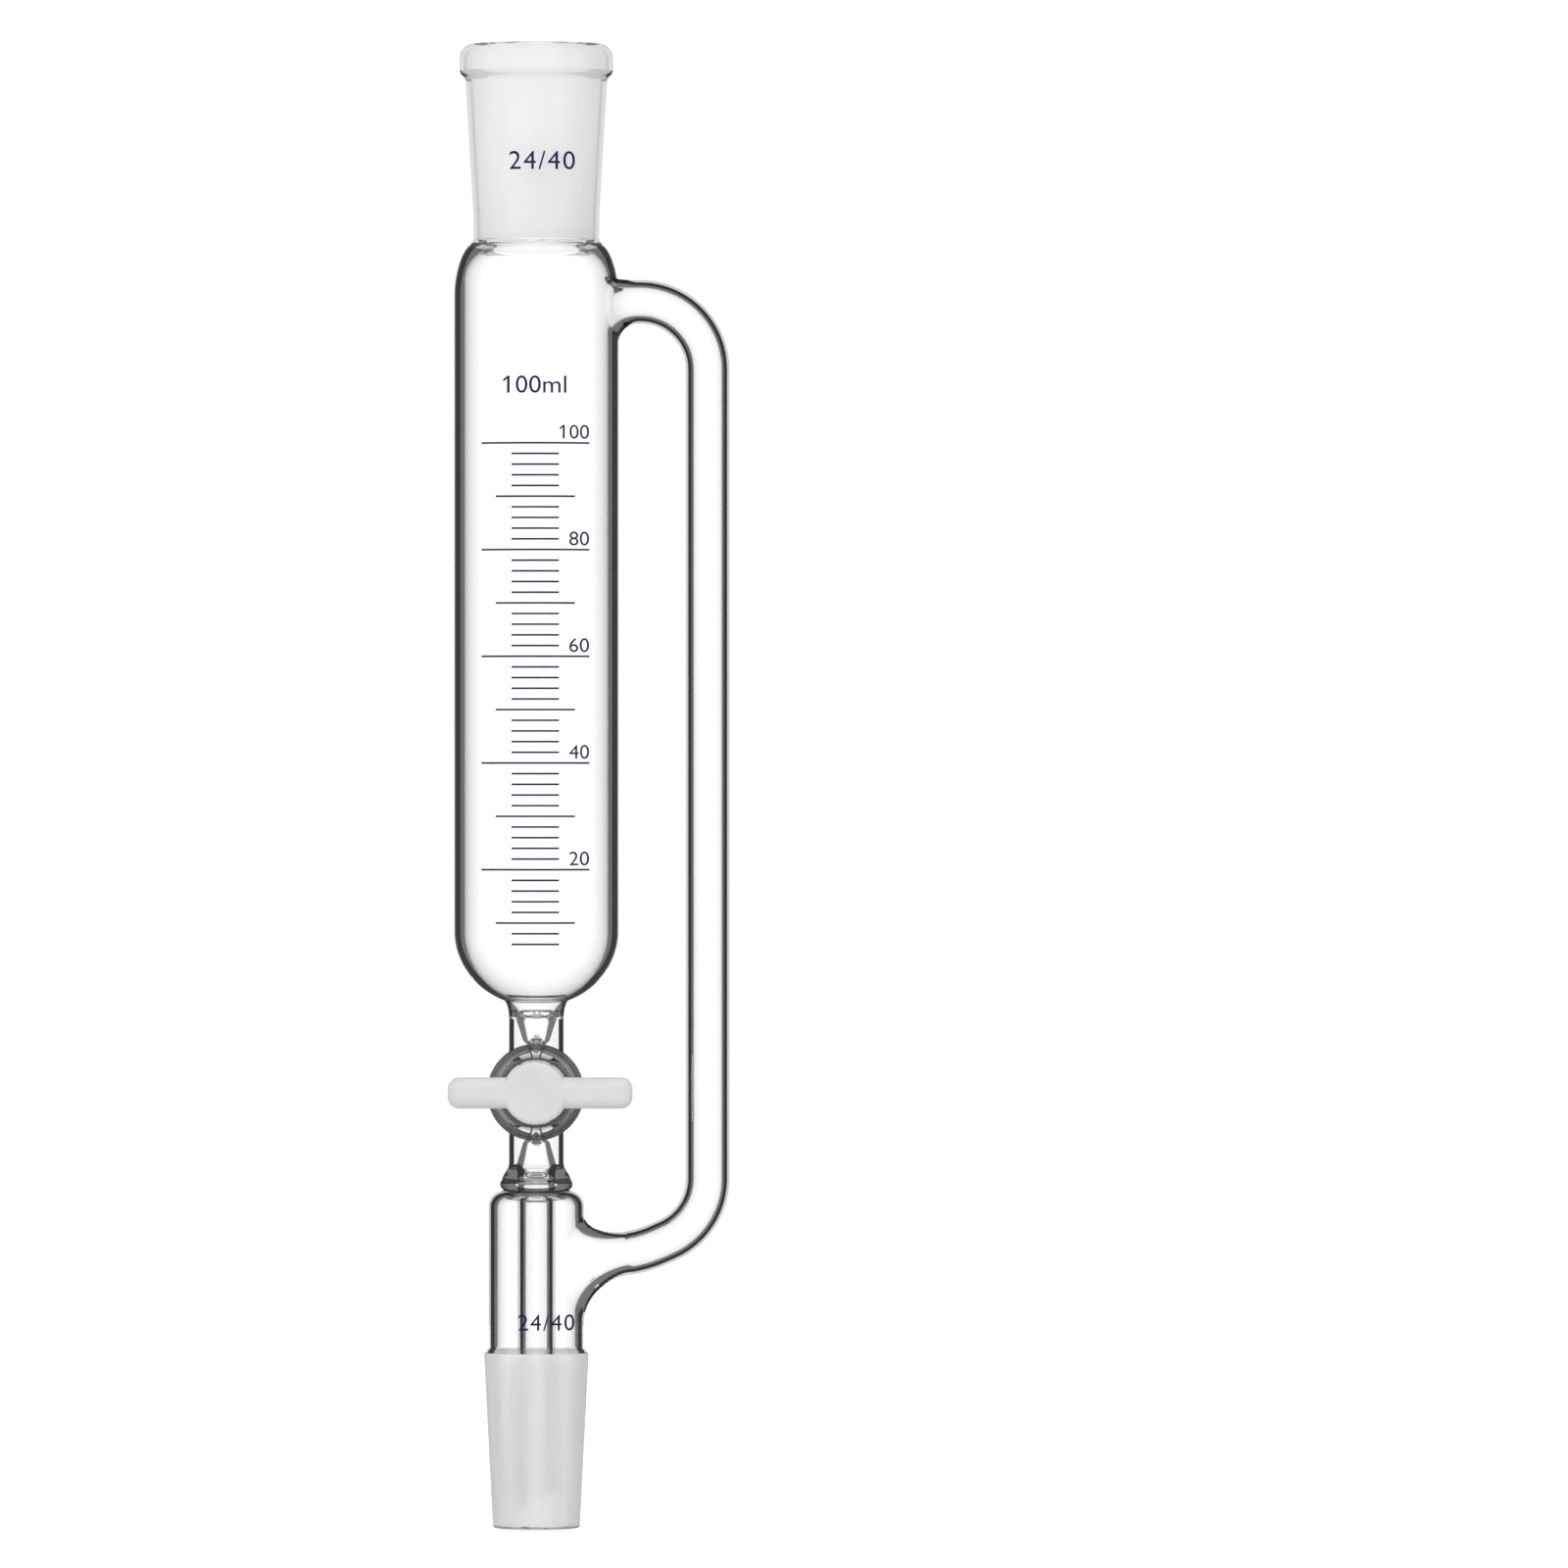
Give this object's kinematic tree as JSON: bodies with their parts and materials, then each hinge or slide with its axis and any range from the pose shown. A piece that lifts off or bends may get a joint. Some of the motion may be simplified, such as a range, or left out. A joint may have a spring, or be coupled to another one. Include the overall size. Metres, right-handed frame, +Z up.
{
  "type": "pressure-equalizing addition funnel",
  "caption": "Glass dropping funnel with a cylindrical graduated reservoir, side pressure arm, turning stopcock, ground socket on top and ground cone below.",
  "frame": {"origin": "centre of the ground cone's large end, the plane where the funnel seats in a flask's socket", "axes": "+Z up along the main axis from cone to socket, +X towards the side arm, -Y towards the front with the scale and the stopcock's handle"},
  "size_m": [0.0642, 0.0505, 0.3403],
  "materials": {
    "borosilicate_glass": "polished, ground on both joints",
    "ptfe": "satin",
    "black_rubber": "matt"
  },
  "bodies": {
    "funnel": {"glass_body": "borosilicate_glass"},
    "stopcock": {"stopcock_plug": "ptfe", "plug_washer": "ptfe", "plug_o_ring": "black_rubber", "plug_nut": "ptfe"}
  },
  "joints": [
    {"name": "stopcock_turn", "type": "hinge", "parent": "funnel", "child": "stopcock", "pos_m": [0, 0, 0.0601], "axis": [0, 1, 0], "continuous": true}
  ]
}
